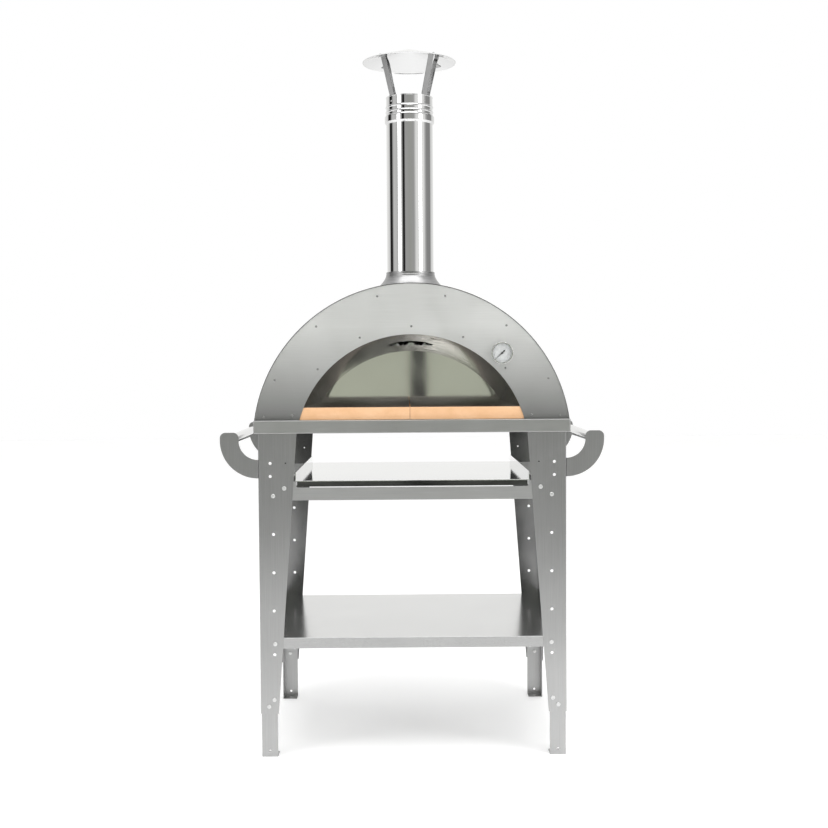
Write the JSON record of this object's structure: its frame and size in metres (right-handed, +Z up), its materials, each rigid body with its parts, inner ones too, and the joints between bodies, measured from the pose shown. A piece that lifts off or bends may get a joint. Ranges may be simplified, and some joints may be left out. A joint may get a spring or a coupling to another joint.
{
  "type": "wood fired pizza oven",
  "caption": "Round-arched stainless steel wood fired pizza oven with a chimney, on a folded sheet stand with a lower shelf and a sliding tray.",
  "frame": {"origin": "centre of the footprint at floor level, under the feet", "axes": "+Z up; the mouth faces -Y; +X to the right of a person facing the mouth"},
  "size_m": [0.994, 0.6228, 1.902],
  "materials": {
    "satin_steel": "satin",
    "polished_steel": "polished",
    "firebrick": "matte",
    "zinc": "satin",
    "fibre_blanket": "matte",
    "fibre_board": "matte",
    "dial_white": "satin",
    "pointer_black": "satin",
    "clear_glass": "polished"
  },
  "bodies": {
    "stand_and_oven": {"base_bolts": "zinc", "base_pan": "satin_steel", "chimney_collar": "satin_steel", "firebox_back": "polished_steel", "firebox_vault": "polished_steel", "floor_insulation": "fibre_board", "flue_spigot": "polished_steel", "foot_bolts": "zinc", "foot_front_left": "satin_steel", "foot_front_right": "satin_steel", "foot_rear_left": "satin_steel", "foot_rear_right": "satin_steel", "front_panel": "satin_steel", "front_panel_screws": "zinc", "handle_bar_left": "polished_steel", "handle_bar_right": "polished_steel", "handle_bolts": "zinc", "handle_bracket_front_left": "satin_steel", "handle_bracket_front_right": "satin_steel", "handle_bracket_rear_left": "satin_steel", "handle_bracket_rear_right": "satin_steel", "hearth_tile_front_left": "firebrick", "hearth_tile_front_right": "firebrick", "hearth_tile_rear_left": "firebrick", "hearth_tile_rear_right": "firebrick", "leg_front_left": "satin_steel", "leg_front_right": "satin_steel", "leg_rear_left": "satin_steel", "leg_rear_right": "satin_steel", "lower_shelf": "polished_steel", "outer_shell": "satin_steel", "rear_panel": "satin_steel", "rear_panel_screws": "zinc", "shelf_bolts": "zinc", "shelf_front_rail": "satin_steel", "shelf_nuts": "zinc", "shelf_rear_rail": "satin_steel", "shelf_runner_left": "satin_steel", "shelf_runner_right": "satin_steel", "thermometer_bezel": "polished_steel", "thermometer_case": "polished_steel", "thermometer_dial": "dial_white", "thermometer_glass": "clear_glass", "thermometer_nut": "zinc", "thermometer_stem": "zinc", "vault_insulation": "fibre_blanket"},
    "chimney": {"chimney_pipe": "polished_steel"},
    "cap": {"cap_collar": "polished_steel", "cowl_struts": "polished_steel", "cowl_cone": "polished_steel", "cowl_rivets": "polished_steel"},
    "tray": {"shelf_tray": "polished_steel"},
    "pointer": {"thermometer_pointer": "pointer_black"}
  },
  "joints": [
    {"name": "chimney_lift", "type": "slide", "parent": "stand_and_oven", "child": "chimney", "axis": [0, 0, 1], "range_m": [0, 0.06]},
    {"name": "cap_lift", "type": "slide", "parent": "chimney", "child": "cap", "axis": [0, 0, 1], "range_m": [0, 0.06]},
    {"name": "tray_slide", "type": "slide", "parent": "stand_and_oven", "child": "tray", "axis": [0, -1, 0], "range_m": [0, 0.45]},
    {"name": "pointer_turn", "type": "hinge", "parent": "stand_and_oven", "child": "pointer", "pos_m": [0.2345, -0.296, 1.0495], "axis": [0, 1, 0], "range_deg": [0, 270]}
  ]
}
